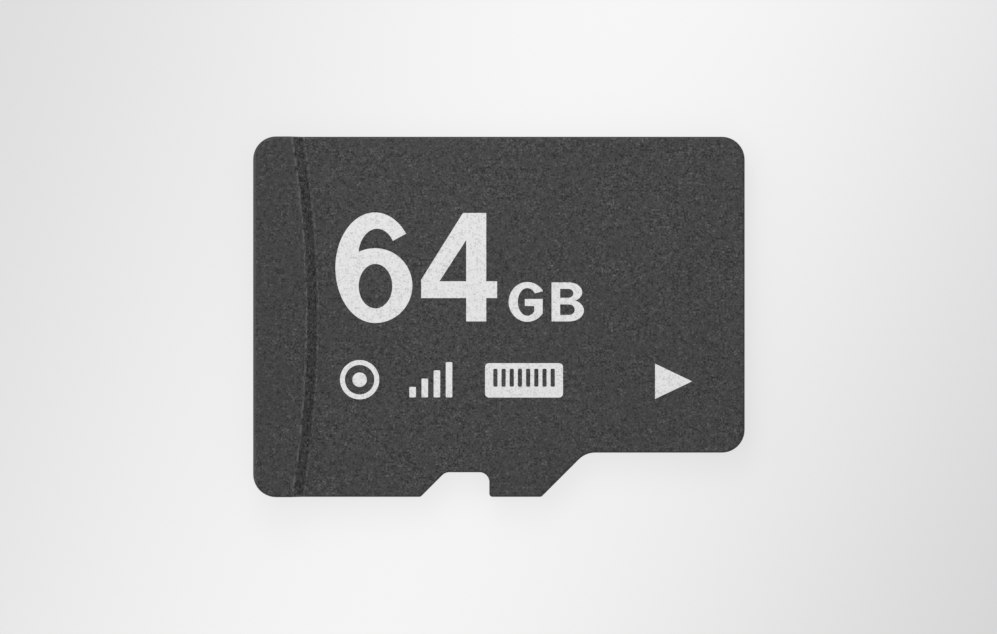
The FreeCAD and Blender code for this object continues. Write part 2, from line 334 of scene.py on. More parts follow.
plan = stretched(tree, where["Object"], (MM_PER_METRE, MM_PER_METRE, 0.0))
to_axis = add_node(tree, "ShaderNodeVectorMath", {0: plan, 1: RIDGE_AXIS}, operation="DISTANCE")
from_axis = to_axis.outputs["Value"]
along_ridge = stretched(tree, plan, DASH_SHAPE)
dash_noise = noise(tree, along_ridge, DASHES_PER_MM, detail=3.0, roughness=0.7)
# Pale dashes on the crest are painted highlight and rubbed grain; those in front of the foot are painted
# highlight.
crest_line = line_mask(tree, from_axis, CREST_ARC, LINE_AND_FADE_WIDTH)
foot_line = line_mask(tree, from_axis, RIDGE_ARC + LINE_AND_FADE_WIDTH, LINE_AND_FADE_WIDTH)
crest_highlight_and_rub = math_node(tree, "MULTIPLY", crest_line, remap(tree, dash_noise, 0.43, 0.57))
foot_highlight = math_node(tree, "MULTIPLY", foot_line, remap(tree, dash_noise, 0.5, 0.6, 0.0, FOOT_HIGHLIGHT_SHARE))
ridge_highlights_and_rub = math_node(tree, "MAXIMUM", crest_highlight_and_rub, foot_highlight)
# The grip's outer edge gets a painted highlight, and partly rubbed grain.
end_highlight_and_rub = remap(tree, axes(tree, plan)["X"], GRIP_END_X + 2 * LINE_AND_FADE_WIDTH, GRIP_END_X + LINE_AND_FADE_WIDTH,
                0.0, GRIP_END_HIGHLIGHT_AND_RUB)
highlight_and_rub = math_node(tree, "MAXIMUM", ridge_highlights_and_rub, end_highlight_and_rub)
print("moulding: rubbed lines, ridge's foot at x =", round(RIDGE_AXIS[0] + RIDGE_ARC, 3), "mm")

# %% [markdown]
# A thin dark line that is broken in places is painted in the corner at the ridge's foot: painted shade in
# the crease, and partly dirt that stays there. The rounded rim of the card is painted darker as well, as
# painted shade on the tilted rim; the mould is smooth there, so the rim has no grain. Both the rim and the
# ridge's slope are tilted, so the rim's mask leaves the slope out.

# %% Material: moulding, painted shade, dirt and rim
SHADE_AND_DIRT_WIDTH = 0.045
SHADE_AND_DIRT_PATCHES_PER_MM = 17.0
SHADE_AND_DIRT_SHARE = 0.95
RIM_BELOW = 0.75
FLAT_ABOVE = 0.97
# Dark dashes at the foot: painted shade in the crease, and partly dirt.
shade_and_dirt_line = line_mask(tree, from_axis, RIDGE_ARC - SHADE_AND_DIRT_WIDTH / 2, SHADE_AND_DIRT_WIDTH)
shade_and_dirt_patches = noise(tree, along_ridge, SHADE_AND_DIRT_PATCHES_PER_MM)
shade_and_dirt = math_node(tree, "MULTIPLY", shade_and_dirt_line, remap(tree, shade_and_dirt_patches, 0.53, 0.6, 0.0, SHADE_AND_DIRT_SHARE))
off_middle = math_node(tree, "SUBTRACT", from_axis, RIDGE_ARC - RIDGE_RUN / 2)
from_middle = math_node(tree, "ABSOLUTE", off_middle)
off_slope = remap(tree, from_middle, RIDGE_RUN / 2, RIDGE_RUN / 2 + LINE_AND_FADE_WIDTH)
# The rim's darker tone is painted shade on the tilted rim; it has no grain because the mould is smooth
# there.
tilted = remap(tree, level, RIM_BELOW, FLAT_ABOVE, 1.0, 0.0)
rim = math_node(tree, "MULTIPLY", tilted, off_slope)
print("moulding: dirt and rim,", len(tree.nodes), "nodes so far")

# %% [markdown]
# The grain stands out more on the ridge's slope than on the flat faces, and the grip's top is a little
# darker from handling. The distance from the arc's axis finds these two areas as well.

# %% Material: moulding, slope and grip
SLOPE_CONTRAST = 1.2
HANDLED_TONE = grey(0.002)
HANDLED_SHARE = 0.1
slope_offset = (1 - SLOPE_CONTRAST) * GRAIN_MIDDLE
slope_fleck = math_node(tree, "MULTIPLY_ADD", grain["Fleck"], SLOPE_CONTRAST, slope_offset)
slope_speckle = blend_colours(tree, slope_fleck, PIT_TONE, PEAK_TONE)
ridged = blend_colours(tree, off_slope, slope_speckle, clouded)
on_grip = remap(tree, from_axis, CREST_ARC, CREST_ARC - LINE_AND_FADE_WIDTH, 0.0, HANDLED_SHARE)
handled = blend_colours(tree, on_grip, ridged, HANDLED_TONE)
print("moulding: slope and grip,", len(tree.nodes), "nodes so far")

# %% [markdown]
# The other masks are now laid over the grain one after another: painted shade and dirt, the smooth rim with
# painted shade, the pale lines of painted highlight and rubbed grain, and the cut walls last. The pale lines
# are also a little glossier, and rim and walls have their own relief.

# %% Material: moulding, colour, gloss and relief
# Tones: painted shade and dirt at the foot, painted shade on the rim, painted highlight and rub on the pale
# lines.
SHADE_AND_DIRT_TONE = grey(0.002)
RIM_SHADE_TONE = grey(0.02)
HIGHLIGHT_AND_RUB_TONE = grey(0.115)
RUBBED_ROUGHNESS = 0.42
SMOOTH_HEIGHT = 0.5
shaded_and_dirty = blend_colours(tree, shade_and_dirt, handled, SHADE_AND_DIRT_TONE)
rim_shaded = blend_colours(tree, rim, shaded_and_dirty, RIM_SHADE_TONE)
highlighted_and_worn = blend_colours(tree, highlight_and_rub, rim_shaded, HIGHLIGHT_AND_RUB_TONE)
grain_roughness = remap(tree, grain["Fleck"], 0.0, 1.0, 0.68, 0.52)
link_finish(tree, shader, Base_Color=blend_colours(tree, on_wall, highlighted_and_worn, wall_tone),
            Roughness=blend_values(tree, highlight_and_rub, grain_roughness, RUBBED_ROUGHNESS))
moulded_relief = blend_values(tree, rim, grain["Height"], SMOOTH_HEIGHT)
relief = blend_values(tree, on_wall, moulded_relief, cut_lines)
add_bump(tree, shader, relief, depth=mm(0.02), strength=0.5)
print("material:", moulding.name)

# %% [markdown]
# ## Finish: board edge
# The board is glass cloth in dark resin. Its cut edge is the thin line under the moulding, and shows the
# cloth's bundles as pale dashes along the edge. They could be strips of mesh, but they are far finer than
# the edge is high, so noise that is squeezed in Z draws them.

# %% Material: laminate
BUNDLE_SHAPE = (900.0, 900.0, 9000.0)
BUNDLE_SCALE = 3.2
RESIN_COLOUR = (0.028, 0.025, 0.016, 1)
GLASS_COLOUR = (0.13, 0.115, 0.07, 1)
laminate, tree, shader, where = new_material("laminate_edge", Roughness=0.6)
flattened = stretched(tree, where["Object"], BUNDLE_SHAPE)
bundles = noise(tree, flattened, BUNDLE_SCALE, detail=3.0, roughness=0.6)
glass_cloth = remap(tree, bundles, 0.4, 0.66)
link_finish(tree, shader, Base_Color=blend_colours(tree, glass_cloth, RESIN_COLOUR, GLASS_COLOUR))
add_bump(tree, shader, bundles, depth=mm(0.01), strength=0.4)
print("material:", laminate.name)

# %% [markdown]
# ## Finish: solder mask
# The mask on the board's underside is a thin black lacquer: smooth, satin, with a slight orange peel. Copper
# tracks lie under it, and it follows them as a faint relief. A track leaves each contact along the card, all
# of them step aside together by half a pitch, and each ends at a plated hole. They could be solids, but they
# are only a few microns high. So the rows of contacts, found from the contacts' boxes, are folded onto one
# row: the distance to the nearest row draws every track, and a random value for each row sets its end.

# %% Group: tracks, their rows and ends
first_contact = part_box("contact_dat2")
last_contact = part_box("contact_dat1")
CONTACT_ROWS = sum(name.startswith("contact_") for name in cad)
ROW_START = (first_contact[0][1] + first_contact[1][1]) / 2 * MM_PER_METRE
ROW_PITCH = (last_contact[0][1] - first_contact[0][1]) * MM_PER_METRE / (CONTACT_ROWS - 1)
TRACK_STEP_X = 1.9
TRACK_LONGEST = -5.4
TRACK_SHORTEST = 0.6
track_group, given, made = new_group(
    "Tracks under the mask", "ShaderNodeTree",
    [("Position", "NodeSocketVector", None)], [("Track", "NodeSocketFloat")])
spot = axes(track_group, in_mm(track_group, given["Position"]))
aside = remap(track_group, spot["X"], TRACK_STEP_X - ROW_PITCH / 2, TRACK_STEP_X, ROW_PITCH / 2, 0.0)
from_start = math_node(track_group, "SUBTRACT", spot["Y"], ROW_START)
rows_up = math_node(track_group, "DIVIDE", math_node(track_group, "ADD", from_start, aside), ROW_PITCH)
nearest_row = math_node(track_group, "ROUND", rows_up)
rows_off = math_node(track_group, "SUBTRACT", rows_up, nearest_row)
off_row = math_node(track_group, "MULTIPLY", rows_off, ROW_PITCH)
lot = add_node(track_group, "ShaderNodeTexWhiteNoise", {"W": nearest_row}, noise_dimensions="1D")
track_end = remap(track_group, lot.outputs["Value"], 0.0, 1.0, TRACK_LONGEST, TRACK_SHORTEST)
past_end = math_node(track_group, "SUBTRACT", spot["X"], track_end)
print("tracks:", CONTACT_ROWS, "rows at a pitch of", round(ROW_PITCH, 3), "mm")

# %% [markdown]
# A track runs from its hole to its contact, as a line with soft shoulders, and the hole is a round spot at
# its end. Beyond the first and the last row there is nothing.

# %% Group: tracks, lines and holes
TRACK_HALF = 0.07
TRACK_SHOULDER = 0.035
HOLE_RADIUS = 0.17
HOLE_SHOULDER = 0.034
TRACK_START = first_contact[0][0] * MM_PER_METRE
from_row = math_node(track_group, "ABSOLUTE", off_row)
line = remap(track_group, from_row, TRACK_HALF, TRACK_HALF + TRACK_SHOULDER, 1.0, 0.0)
begun = math_node(track_group, "GREATER_THAN", past_end, 0.0)
before_contact = math_node(track_group, "LESS_THAN", spot["X"], TRACK_START)
run = math_node(track_group, "MULTIPLY", line, math_node(track_group, "MULTIPLY", begun, before_contact))
to_hole = add_node(track_group, "ShaderNodeCombineXYZ", {"X": past_end, "Y": off_row}).outputs["Vector"]
from_hole = add_node(track_group, "ShaderNodeVectorMath", {0: to_hole}, operation="LENGTH").outputs["Value"]
hole = remap(track_group, from_hole, HOLE_RADIUS, HOLE_RADIUS + HOLE_SHOULDER, 1.0, 0.0)
copper = math_node(track_group, "MAXIMUM", run, hole)
among_rows = math_node(track_group, "COMPARE", nearest_row, (CONTACT_ROWS - 1) / 2, CONTACT_ROWS / 2)
track_group.links.new(math_node(track_group, "MULTIPLY", copper, among_rows), made["Track"])
print("group:", track_group.name)

# %% [markdown]
# The lacquer itself is black with a slow change of tone and gloss. Over the copper it is a little paler, and
# there its relief rises. The orange peel is a fifth as high as a track.

# %% Material: mask
PEEL_PER_MM = 5.0
PEEL_HEIGHT = 0.2
HAZE_PER_MM = 0.7
COPPER_SHOWS = 0.6
LACQUER_COLOURS = ((0.006, 0.008, 0.007, 1), (0.013, 0.016, 0.014, 1))
OVER_COPPER_COLOUR = (0.026, 0.026, 0.02, 1)
mask, tree, shader, where = new_material("solder_mask_lacquer")
place = in_mm(tree, where["Object"])
haze = noise(tree, place, HAZE_PER_MM, detail=4.0)
track = use_group(tree, track_group, where["Object"])["Track"]
lacquer = blend_colours(tree, haze, *LACQUER_COLOURS)
shown = math_node(tree, "MULTIPLY", track, COPPER_SHOWS)
link_finish(tree, shader, Base_Color=blend_colours(tree, shown, lacquer, OVER_COPPER_COLOUR),
            Roughness=remap(tree, haze, 0.3, 0.7, 0.3, 0.42))
relief = math_node(tree, "MULTIPLY_ADD", noise(tree, place, PEEL_PER_MM), PEEL_HEIGHT, track)
add_bump(tree, shader, relief, depth=mm(0.012), strength=0.8)
print("material:", mask.name)

# %% [markdown]
# ## Finish: gold and tin
# Gold plate covers the contacts, the bond fingers and the lands, and the wires are gold right through. It
# could be one flat metal, but real plate shifts in tone, and the streaks make it a little paler and rougher
# where springs have rubbed it. The capacitors' ends are matt tin, with finer streaks from the same group.

# %% Materials: gold and tin
GOLD_TONES_PER_MM = 1.1
GOLD_COLOURS = ((0.74, 0.45, 0.12, 1), (0.84, 0.55, 0.18, 1))
RUBBED_GOLD_COLOUR = (0.9, 0.69, 0.35, 1)
TIN_STREAKS_PER_MM = 40.0
TIN_TONES = (grey(0.6), grey(0.74))
gold, tree, shader, where = new_material("gold_plate", Metallic=1.0)
streaks = use_group(tree, streak_group, where["Object"], Streaks_per_mm=GOLD_STREAKS_PER_MM)
tone = noise(tree, in_mm(tree, where["Object"]), GOLD_TONES_PER_MM, detail=3.0)
clean = blend_colours(tree, tone, *GOLD_COLOURS)
link_finish(tree, shader, Base_Color=blend_colours(tree, streaks["Streak"], clean, RUBBED_GOLD_COLOUR),
            Roughness=remap(tree, streaks["Streak"], 0.0, 1.0, 0.24, 0.42))
add_bump(tree, shader, streaks["Height"], depth=mm(0.004), strength=0.25)

tin, tree, shader, where = new_material("matt_tin", Metallic=1.0)
streaks = use_group(tree, streak_group, where["Object"], Streaks_per_mm=TIN_STREAKS_PER_MM)
link_finish(tree, shader, Base_Color=blend_colours(tree, streaks["Streak"], *TIN_TONES),
            Roughness=remap(tree, streaks["Height"], 0.3, 0.7, 0.38, 0.55))
print("materials:", gold.name, tin.name)

# %% [markdown]
# ## Finish: silicon, film and ceramic
# The other pieces are buried, but each still has the finish that it would show on the bench: polished
# silicon with its grid of memory blocks, amber film and fired ceramic. The grid repeats like brickwork with
# no offset, so a brick texture draws it.

# %% Materials: silicon, film and ceramic
MEMORY_BLOCKS = {
    "Color1": (0.10, 0.11, 0.15, 1), "Color2": (0.13, 0.12, 0.17, 1), "Mortar": (0.24, 0.23, 0.25, 1),
    "Scale": 1.0, "Mortar Size": 0.012, "Brick Width": 0.5, "Row Height": 0.32,
}
FILM_CLOUDS_PER_MM = 4.0
FILM_COLOURS = ((0.30, 0.2, 0.09, 1), (0.4, 0.29, 0.14, 1))
CERAMIC_GRAINS_PER_MM = 40.0
CERAMIC_COLOURS = ((0.2, 0.13, 0.075, 1), (0.3, 0.2, 0.12, 1))
silicon, tree, shader, where = new_material("polished_silicon", Metallic=0.6, Roughness=0.22)
place = in_mm(tree, where["Object"])
blocks = add_node(tree, "ShaderNodeTexBrick", {"Vector": place, **MEMORY_BLOCKS}, offset=0.0)
link_finish(tree, shader, Base_Color=blocks.outputs["Color"])

film, tree, shader, where = new_material("die_film", Roughness=0.5)
resin = noise(tree, in_mm(tree, where["Object"]), FILM_CLOUDS_PER_MM, detail=3.0)
link_finish(tree, shader, Base_Color=blend_colours(tree, resin, *FILM_COLOURS))

ceramic, tree, shader, where = new_material("fired_ceramic", Roughness=0.6)
grain = use_group(tree, grain_group, where["Object"], Grains_per_mm=CERAMIC_GRAINS_PER_MM)
link_finish(tree, shader, Base_Color=blend_colours(tree, grain["Fleck"], *CERAMIC_COLOURS))
add_bump(tree, shader, grain["Height"], depth=mm(0.006), strength=0.3)
print("materials:", silicon.name, film.name, ceramic.name)

# %% [markdown]
# ## Giving each solid its finish
# The record names a finish slot for every piece, so the slots decide which material goes where, and no
# piece can be forgotten.

# %% Assign the materials
FINISHES = {
    "moulding": moulding, "laminate": laminate, "mask": mask, "gold": gold, "tin": tin,
    "silicon": silicon, "die_film": film, "capacitor_body": ceramic,
}
for piece in frame["record"]["subparts"]:
    mesh = cad[piece["node"]].data
    mesh.materials.clear()
    mesh.materials.append(FINISHES[piece["material_slot"]])

# %% [markdown]
# ## White ink
# The label is pad-printed: a soft pad lays one thin film of white ink on the grained face. The film is thin
# enough to follow the grain, so a little of it shows through as grey flecks and as relief. A plain white
# would look stuck on, so the ink uses the same grain group as the moulding, at the same size.

# %% Material: ink
THIN_INK_TONE = grey(0.58)
FULL_INK_TONE = grey(0.8)
ink, tree, shader, where = new_material("white_ink", IOR=1.45)
grain = use_group(tree, grain_group, where["Object"], Grains_per_mm=GRAINS_PER_MM)
cover = remap(tree, grain["Fleck"], 0.0, 0.34)
link_finish(tree, shader, Base_Color=blend_colours(tree, cover, THIN_INK_TONE, FULL_INK_TONE),
            Roughness=remap(tree, grain["Fleck"], 0.0, 1.0, 0.7, 0.55))
add_bump(tree, shader, grain["Height"], depth=mm(0.012), strength=0.3)
print("material:", ink.name)

# %% [markdown]
# ## From an outline to an ink film
# Every printed mark is a flat shape with a thickness of a few microns. A text object could draw some of
# them, but then the shapes would depend on a font. Here each mark is an outline, and one Geometry Nodes
# group turns outlines into film: it fills them, lifts a copy by the thickness, closes the underside and
# gives it the ink. An outline inside another one becomes a hole.

# %% Geometry Nodes group: ink film
LABEL_FACE = 0.7
INK_FILM = 0.008
SAME_POINT = 0.0005
FILM_INPUTS = [
    ("Film", "NodeSocketFloat", mm(INK_FILM)),
    ("Label face", "NodeSocketFloat", mm(LABEL_FACE)),
    ("Ink", "NodeSocketMaterial", None),
]
PRINT_OUTPUT = [("Print", "NodeSocketGeometry")]
film_group, given, made = new_group(
    "Ink film", "GeometryNodeTree",
    [("Outlines", "NodeSocketGeometry", None)] + FILM_INPUTS, PRINT_OUTPUT)
filled = add_node(film_group, "GeometryNodeFillCurve", {"Curve": given["Outlines"]}, mode="TRIANGLES")
lift = add_node(film_group, "ShaderNodeCombineXYZ", {"Z": given["Label face"]})
laid = add_node(film_group, "GeometryNodeTransform", {
    "Geometry": filled.outputs["Mesh"], "Translation": lift.outputs["Vector"]})
raised = add_node(film_group, "GeometryNodeExtrudeMesh", {
    "Mesh": laid.outputs["Geometry"], "Offset": (0, 0, 1), "Offset Scale": given["Film"],
    "Individual": False})
under = add_node(film_group, "GeometryNodeFlipFaces", {"Mesh": laid.outputs["Geometry"]})
closed = add_node(film_group, "GeometryNodeJoinGeometry", {"Geometry": raised.outputs["Mesh"]})
film_group.links.new(under.outputs["Mesh"], closed.inputs["Geometry"])
merged = add_node(film_group, "GeometryNodeMergeByDistance", {
    "Geometry": closed.outputs["Geometry"], "Distance": mm(SAME_POINT)})
real = add_node(film_group, "GeometryNodeRealizeInstances", {"Geometry": merged.outputs["Geometry"]})
inked = add_node(film_group, "GeometryNodeSetMaterial", {
    "Geometry": real.outputs["Geometry"], "Material": given["Ink"]})
film_group.links.new(inked.outputs["Geometry"], made["Print"])
print("group:", film_group.name, "of", INK_FILM, "mm")

# %% [markdown]
# A tree works on an object as a modifier. `grow` puts it on a passing host object, sets its inputs before it
# is first evaluated, takes the result as a plain mesh, and drops the host.

# %% Run a tree
def grow(name, tree, sizes, host_mesh):
    """Plain mesh object made by a geometry tree."""
    host = bpy.data.objects.new(name + "_host", host_mesh)
    scene.collection.objects.link(host)
    modifier = host.modifiers.new("tree", "NODES")
    modifier.node_group = tree
    for socket in tree.interface.items_tree:
        if socket.in_out == "INPUT" and socket.name in sizes:
            modifier[socket.identifier] = sizes[socket.name]
    evaluated = host.evaluated_get(bpy.context.evaluated_depsgraph_get())
    mesh = bpy.data.meshes.new_from_object(evaluated)
    bpy.data.objects.remove(host)
    piece = bpy.data.objects.new(name, mesh)
    scene.collection.objects.link(piece)
    return piece


print("tree helper:", grow.__name__)

# %% [markdown]
# Every mark ends in the same film and rides on the card. `add_film` ends a mark's tree with the film group,
# and `print_with` runs the tree with the film's own values, which are the same for every mark.

# %% Print on the label
def add_film(tree, given, outlines, made):
    """End a tree with the ink film group."""
    film_inputs = {name: given[name] for name, _, _ in FILM_INPUTS}
    ending = add_node(tree, "GeometryNodeGroup", {"Outlines": outlines, **film_inputs}, node_tree=film_group)
    real = add_node(tree, "GeometryNodeRealizeInstances", {"Geometry": ending.outputs["Print"]})
    inked = add_node(tree, "GeometryNodeSetMaterial", {
        "Geometry": real.outputs["Geometry"], "Material": given["Ink"]})
    tree.links.new(inked.outputs["Geometry"], made["Print"])


def print_with(name, tree, sizes, host_mesh):
    """Printed mark that rides on the card."""
    film_sizes = {"Film": mm(INK_FILM), "Label face": mm(LABEL_FACE), "Ink": ink}
    piece = grow(name, tree, {**sizes, **film_sizes}, host_mesh)
    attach(piece, "root")
    print(f"{name}: {len(piece.data.polygons)} faces")


print("print helpers:", add_film.__name__, print_with.__name__)

# %% [markdown]
# ## The capacity mark
# Large figures give the card's capacity, with the unit beside them in small capitals. They are plain bold
# figures, drawn here from straight lines and parts of ellipses in a box one unit high, and then scaled to
# the label. The first outline of each is its outer edge, and the others are its holes.

# %% Draw plain figures
DEGREES_PER_STEP = 5
FEWEST_STEPS = 6


def bow(centre_x, centre_y, radius_x, radius_y, start, end):
    """Points on part of an ellipse, from one angle to another in degrees."""
    steps = max(FEWEST_STEPS, round(abs(end - start) / DEGREES_PER_STEP))
    angles = [math.radians(start + (end - start) * i / steps) for i in range(steps + 1)]
    return [(centre_x + radius_x * math.cos(a), centre_y + radius_y * math.sin(a)) for a in angles]


SIX = [
    bow(0.365, 0.495, 0.365, 0.51, 38, 268) + bow(0.365, 0.33, 0.345, 0.345, 272, 475)
    + bow(0.385, 0.6, 0.175, 0.255, 168, 34),
    bow(0.37, 0.325, 0.155, 0.205, 0, 355),
]
FOUR = [
    [(0.6, 1.0), (0.385, 1.0), (0.0, 0.385), (0.0, 0.215), (0.415, 0.215), (0.415, 0.0), (0.6, 0.0),
     (0.6, 0.215), (0.7, 0.215), (0.7, 0.37), (0.6, 0.37)],
    [(0.415, 0.37), (0.415, 0.75), (0.168, 0.37)],
]
CAPITAL_G = [
    bow(0.48, 0.5, 0.48, 0.51, 33, 325)
    + [(0.873, 0.575), (0.415, 0.575), (0.415, 0.395), (0.656, 0.395)]
    + bow(0.48, 0.5, 0.245, 0.355, 316, 38),
]
CAPITAL_B = [
    [(0.0, 1.0), (0.0, 0.0)]
    + bow(0.45, 0.28, 0.38, 0.28, -90, 62) + bow(0.44, 0.75, 0.345, 0.25, -58, 90),
    [(0.22, 0.165)] + bow(0.45, 0.3, 0.145, 0.135, -90, 90) + [(0.22, 0.435)],
    [(0.22, 0.605)] + bow(0.43, 0.72, 0.13, 0.115, -90, 90) + [(0.22, 0.835)],
]
print("figure points:", [sum(map(len, figure)) for figure in (SIX, FOUR, CAPITAL_G, CAPITAL_B)])

# %% [markdown]
# The figures become a mesh of edges only, on the host object. The tree turns the edges into curves and ends
# in the film, so any closed outline can be printed this way.

# %% Geometry Nodes tree: printed outline
outline_tree, given, made = new_group(
    "Printed outline", "GeometryNodeTree",
    [("Edges", "NodeSocketGeometry", None)] + FILM_INPUTS, PRINT_OUTPUT)
loops = add_node(outline_tree, "GeometryNodeMeshToCurve", {"Mesh": given["Edges"]})
add_film(outline_tree, given, loops.outputs["Curve"], made)


def print_outlines(name, outlines):
    """Print closed outlines that are given in millimetres on the label."""
    points, edges = [], []
    for outline in outlines:
        first = len(points)
        points += [(mm(x), mm(y), 0) for x, y in outline]
        edges += [(first + i, first + (i + 1) % len(outline)) for i in range(len(outline))]
    host_mesh = bpy.data.meshes.new(name + "_edges")
    host_mesh.from_pydata(points, edges, [])
    print_with(name, outline_tree, {}, host_mesh)


print("tree:", outline_tree.name)

# %% [markdown]
# Figures and unit stand on one line. Each is given by its left edge and its height.

# %% Print the capacity
FOOT_LINE = -0.14
FIGURE_HEIGHT = 3.31
SIX_LEFT = -5.0
FOUR_LEFT = -2.38
UNIT_HEIGHT = 1.19
CAPITAL_G_LEFT = 0.29
CAPITAL_B_LEFT = 1.6


def placed(figure, left, height):
    """Outlines of a figure, scaled to a height and stood on the foot line."""
    return [[(left + x * height, FOOT_LINE + y * height) for x, y in outline] for outline in figure]


print_outlines("capacity_figures", placed(SIX, SIX_LEFT, FIGURE_HEIGHT)
               + placed(FOUR, FOUR_LEFT, FIGURE_HEIGHT))
print_outlines("capacity_unit", placed(CAPITAL_G, CAPITAL_G_LEFT, UNIT_HEIGHT)
               + placed(CAPITAL_B, CAPITAL_B_LEFT, UNIT_HEIGHT))

# %% [markdown]
# ## Small marks under the capacity
# A row of small plain signs stands under the figures: a ring with a dot, bars that rise, a plate with
# slots, and the arrow that shows which end goes in first. The ring and the arrow are outlines like the
# figures.

# %% Print the ring and the arrow
MARK_LINE = -1.92
RING_X = -4.26
RING_RADII = (0.6, 0.45, 0.22)
ARROW_LINE = -1.97
ARROW_BACK = 4.76
ARROW_TIP = 5.89
ARROW_HALF = 0.54
print_outlines("ring_mark", [bow(RING_X, MARK_LINE, radius, radius, 0, 355) for radius in RING_RADII])
print_outlines("insert_arrow", [[
    (ARROW_BACK, ARROW_LINE - ARROW_HALF), (ARROW_TIP, ARROW_LINE), (ARROW_BACK, ARROW_LINE + ARROW_HALF)]])

# %% [markdown]
# The bars and the slots repeat, so trees of their own lay them out. The first one stands bars on a line of
# points and scales each by its index, so they rise from the lowest to the tallest. Corners are rounded after
# the scaling, which keeps every radius the same.

# %% Geometry Nodes tree: rising bars
CORNER_POINTS = 5
bars_tree, given, made = new_group("Rising bars", "GeometryNodeTree", [
    ("Bars", "NodeSocketInt", None), ("Bar width", "NodeSocketFloat", None),
    ("Pitch", "NodeSocketFloat", None), ("Lowest", "NodeSocketFloat", None),
    ("Tallest", "NodeSocketFloat", None), ("Corner", "NodeSocketFloat", None),
    ("Foot", "NodeSocketVector", None)] + FILM_INPUTS, PRINT_OUTPUT)
step = add_node(bars_tree, "ShaderNodeCombineXYZ", {"X": given["Pitch"]})
feet = add_node(bars_tree, "GeometryNodeMeshLine", {
    "Count": given["Bars"], "Start Location": given["Foot"], "Offset": step.outputs["Vector"]})
unit_bar = add_node(bars_tree, "GeometryNodeCurvePrimitiveQuadrilateral", {
    "Width": given["Bar width"], "Height": 1.0})
standing = add_node(bars_tree, "GeometryNodeTransform", {
    "Geometry": unit_bar.outputs["Curve"], "Translation": (0, 0.5, 0)})
index = add_node(bars_tree, "GeometryNodeInputIndex").outputs["Index"]
last = math_node(bars_tree, "SUBTRACT", given["Bars"], 1.0)
rise = remap(bars_tree, index, 0.0, last, given["Lowest"], given["Tallest"])
size = add_node(bars_tree, "ShaderNodeCombineXYZ", {"X": 1.0, "Y": rise, "Z": 1.0})
bars = add_node(bars_tree, "GeometryNodeInstanceOnPoints", {
    "Points": feet.outputs["Mesh"], "Instance": standing.outputs["Geometry"],
    "Scale": size.outputs["Vector"]})
real_bars = add_node(bars_tree, "GeometryNodeRealizeInstances", {"Geometry": bars.outputs["Instances"]})
rounded = add_node(bars_tree, "GeometryNodeFilletCurve", {
    "Curve": real_bars.outputs["Geometry"], "Count": CORNER_POINTS, "Radius": given["Corner"],
}, mode="POLY")
add_film(bars_tree, given, rounded.outputs["Curve"], made)
print("tree:", bars_tree.name)

# %% [markdown]
# Four bars stand beside the ring. The tree only needs their sizes and the foot of the first one.

# %% Print the bars
FIRST_BAR_X = -2.64
BARS_DROP = 0.54
BARS_FOOT = Vector((mm(FIRST_BAR_X), mm(MARK_LINE - BARS_DROP), 0))
BARS = {
    "Bars": 4, "Bar width": mm(0.2), "Pitch": mm(0.37), "Lowest": mm(0.32), "Tallest": mm(1.08),
    "Corner": mm(0.03), "Foot": BARS_FOOT,
}
print_with("rising_bars", bars_tree, BARS, bpy.data.meshes.new("bars_host"))

# %% [markdown]
# The second tree cuts a row of slots in a rounded plate. The slots are outlines inside the plate's outline,
# so the film group turns them into holes and the black moulding shows through.

# %% Geometry Nodes tree: slotted plate
PLATE_CORNER_POINTS = 8
plate_tree, given, made = new_group("Slotted plate", "GeometryNodeTree", [
    ("Width", "NodeSocketFloat", None), ("Height", "NodeSocketFloat", None),
    ("Corner", "NodeSocketFloat", None), ("Slots", "NodeSocketInt", None),
    ("Slot width", "NodeSocketFloat", None), ("Slot height", "NodeSocketFloat", None),
    ("Slot corner", "NodeSocketFloat", None), ("Pitch", "NodeSocketFloat", None),
    ("First slot", "NodeSocketVector", None), ("Middle", "NodeSocketVector", None),
] + FILM_INPUTS, PRINT_OUTPUT)
plate = add_node(plate_tree, "GeometryNodeCurvePrimitiveQuadrilateral", {
    "Width": given["Width"], "Height": given["Height"]})
plate_edge = add_node(plate_tree, "GeometryNodeFilletCurve", {
    "Curve": plate.outputs["Curve"], "Count": PLATE_CORNER_POINTS, "Radius": given["Corner"],
}, mode="POLY")
step = add_node(plate_tree, "ShaderNodeCombineXYZ", {"X": given["Pitch"]})
slot_places = add_node(plate_tree, "GeometryNodeMeshLine", {
    "Count": given["Slots"], "Start Location": given["First slot"], "Offset": step.outputs["Vector"]})
slot = add_node(plate_tree, "GeometryNodeCurvePrimitiveQuadrilateral", {
    "Width": given["Slot width"], "Height": given["Slot height"]})
slot_edge = add_node(plate_tree, "GeometryNodeFilletCurve", {
    "Curve": slot.outputs["Curve"], "Count": CORNER_POINTS, "Radius": given["Slot corner"],
}, mode="POLY")
slots = add_node(plate_tree, "GeometryNodeInstanceOnPoints", {
    "Points": slot_places.outputs["Mesh"], "Instance": slot_edge.outputs["Curve"]})
real_slots = add_node(plate_tree, "GeometryNodeRealizeInstances", {"Geometry": slots.outputs["Instances"]})
outlines = add_node(plate_tree, "GeometryNodeJoinGeometry", {"Geometry": plate_edge.outputs["Curve"]})
plate_tree.links.new(real_slots.outputs["Geometry"], outlines.inputs["Geometry"])
moved = add_node(plate_tree, "GeometryNodeTransform", {
    "Geometry": outlines.outputs["Geometry"], "Translation": given["Middle"]})
add_film(plate_tree, given, moved.outputs["Geometry"], made)
print("tree:", plate_tree.name)

# %% [markdown]
# The plate stands beside the bars. Its row of slots lies a little above its middle.

